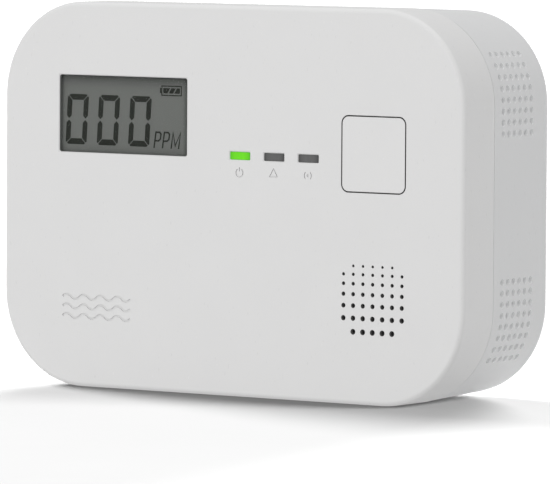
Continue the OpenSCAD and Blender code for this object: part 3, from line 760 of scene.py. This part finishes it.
def digit_segments():
    """The six dark segments of a nought, in millimetres from its lower left corner."""
    line, cut, gap = 1.28, 0.6, 0.12
    point = DIGIT_TALL / 2 + 0.15
    shoulder = DIGIT_TALL / 2 + 0.8
    top = [
        (cut / 2 + gap, DIGIT_TALL - cut / 2),
        (cut + gap / 2, DIGIT_TALL),
        (DIGIT_WIDE - cut - gap / 2, DIGIT_TALL),
        (DIGIT_WIDE - cut / 2 - gap, DIGIT_TALL - cut / 2),
        (DIGIT_WIDE - line - gap, DIGIT_TALL - line),
        (line + gap, DIGIT_TALL - line),
    ]
    side = [
        (0, DIGIT_TALL - cut),
        (cut / 2, DIGIT_TALL - cut / 2 - gap),
        (line, DIGIT_TALL - line - gap),
        (line, shoulder),
        (line / 2, point),
        (0, shoulder),
    ]
    upper = [top, side, [(DIGIT_WIDE - x, z) for x, z in side]]
    return upper + [[(x, DIGIT_TALL - z) for x, z in part] for part in upper]


def make_digits(material):
    """Reading of three noughts."""
    bm = bmesh.new()
    for index in range(3):
        left = DIGIT_LEFT + DIGIT_STEP * index
        for outline in digit_segments():
            add_prism(bm, placed(outline, left, DIGIT_LOW, LEAN), FIGURE_FRONT, FIGURE_BACK)
    mesh_piece("display_digits", bm, material, "case")


def make_unit(material):
    """Unit of the reading: parts per million."""
    line, tall, wide, bend = 0.36, 3.45, 1.4, 0.4
    mid = tall * 0.46
    letter_p = [
        (0, 0),
        (0, tall),
        (wide - bend, tall),
        (wide, tall - bend),
        (wide, mid + bend),
        (wide - bend, mid),
        (line / 2, mid),
    ]
    letter_m = [(0, 0), (0, tall), (0.98, 0.6), (1.96, tall), (1.96, 0)]
    bm = bmesh.new()
    for letter, left in zip((letter_p, letter_p, letter_m), LETTER_LEFTS):
        outline = placed(ribbon(letter, line), left, LETTER_LOW, LETTER_LEAN)
        add_prism(bm, outline, FIGURE_FRONT, FIGURE_BACK)
    mesh_piece("display_unit", bm, material, "case")


def block(left, low, right, high):
    """Outline of an upright rectangle."""
    return [(left, low), (right, low), (right, high), (left, high)]


def make_battery_sign(material):
    """Battery outline with its terminal to the left and a filled middle cut by two leaning gaps."""
    wide, tall, line = 5.4, 2.25, 0.24
    low = 0.55
    top = tall - low
    strips = [
        block(0, 0, wide, line),
        block(0, tall - line, wide, tall),
        block(0, line, line, tall - line),
        block(wide - line, line, wide, tall - line),
        block(-0.36, low, -0.04, top),
    ]
    start, end = 0.5, 4.9
    run, split = 0.7, 0.34
    first = start + (end - start) / 3 - run / 2
    second = start + (end - start) * 2 / 3 - run / 2
    for left, right in ((start, first), (first + split, second), (second + split, end)):
        strips.append(
            [
                (left, low),
                (right, low),
                (min(right + run, end), top),
                (left + run if left > start else start, top),
            ]
        )
    bm = bmesh.new()
    for outline in strips:
        add_prism(bm, placed(outline, BATTERY_LEFT, BATTERY_LOW, 0), FIGURE_FRONT, FIGURE_BACK)
    mesh_piece("display_battery_sign", bm, material, "case")


figures = crystal_figures("crystal_figures")
make_digits(figures)
make_unit(figures)
make_battery_sign(figures)


# ---------------------------------------------------------------- floor and light


def make_floor():
    """Plain pale floor that reaches beyond the picture.

    It takes shadows, but throws no light back on the case.
    """
    s = Shader("floor_pale")
    cloud = s.noise(60, 3)
    material = s.done(
        s.principled(
            Base_Color=s.mix(cloud, (0.26, 0.26, 0.26, 1), (0.27, 0.27, 0.27, 1)),
            Roughness=s.span(cloud, 0.3, 0.7, 0.7, 0.8),
            Specular_IOR_Level=0.0,
        )
    )
    bm = bmesh.new()
    bmesh.ops.create_circle(bm, cap_ends=True, radius=9, segments=64)
    mesh = bpy.data.meshes.new("floor")
    bm.to_mesh(mesh)
    bm.free()
    mesh.materials.append(material)
    floor = bpy.data.objects.new("floor", mesh)
    bpy.context.scene.collection.objects.link(floor)
    floor.visible_diffuse = False
    return floor


def floor_group(name, floor, state):
    """A light group that holds only the floor, taken in or left out."""
    group = bpy.data.collections.new(name)
    group.objects.link(floor)
    group.collection_objects[0].light_linking.link_state = state
    return group


def make_world(strength):
    """Even white light from all round."""
    world = bpy.data.worlds.new("studio")
    world.use_nodes = True
    background = world.node_tree.nodes["Background"]
    background.inputs["Color"].default_value = (1, 1, 1, 1)
    background.inputs["Strength"].default_value = strength
    bpy.context.scene.world = world


def add_lamp(name, kind, azimuth, elevation, distance, power, receivers):
    """Lamp that looks at the middle of the case from that direction."""
    a = math.radians(azimuth)
    e = math.radians(elevation)
    centre = (cad_low + cad_high) / 2
    back = Vector((math.sin(a) * math.cos(e), -math.cos(a) * math.cos(e), math.sin(e)))
    data = bpy.data.lights.new(name, kind)
    data.energy = power
    lamp = bpy.data.objects.new(name, data)
    bpy.context.scene.collection.objects.link(lamp)
    lamp.location = centre + back * distance
    lamp.rotation_mode = "QUATERNION"
    lamp.rotation_quaternion = back.to_track_quat("Z", "Y")
    lamp.light_linking.receiver_collection = receivers
    return data


floor = make_floor()
without_floor = floor_group("without_floor", floor, "EXCLUDE")
only_floor = floor_group("only_floor", floor, "INCLUDE")


def add_panel(name, azimuth, elevation, power, size):
    """Square lamp, 1.2 m away, that lights everything but the floor."""
    add_lamp(name, "AREA", azimuth, elevation, 1.2, power, without_floor).size = size


def add_floor_sun(name, azimuth, elevation, power, angle):
    """Sun that lights the floor alone, and so only gives the case its shadow."""
    add_lamp(name, "SUN", azimuth, elevation, 3.0, power, only_floor).angle = math.radians(angle)


make_world(0.705)
add_panel("key", -20, 12, 3.7, size=0.8)
add_panel("top", 30, 75, 4.1, size=1.0)
add_floor_sun("floor_back", 200, 12, 28.0, angle=24)
add_floor_sun("floor_right", 110, 24, 6.8, angle=20)
add_floor_sun("floor_left", 255, 30, 12.7, angle=20)
bpy.context.scene.view_settings.view_transform = "Standard"
bpy.context.scene.view_settings.look = "None"
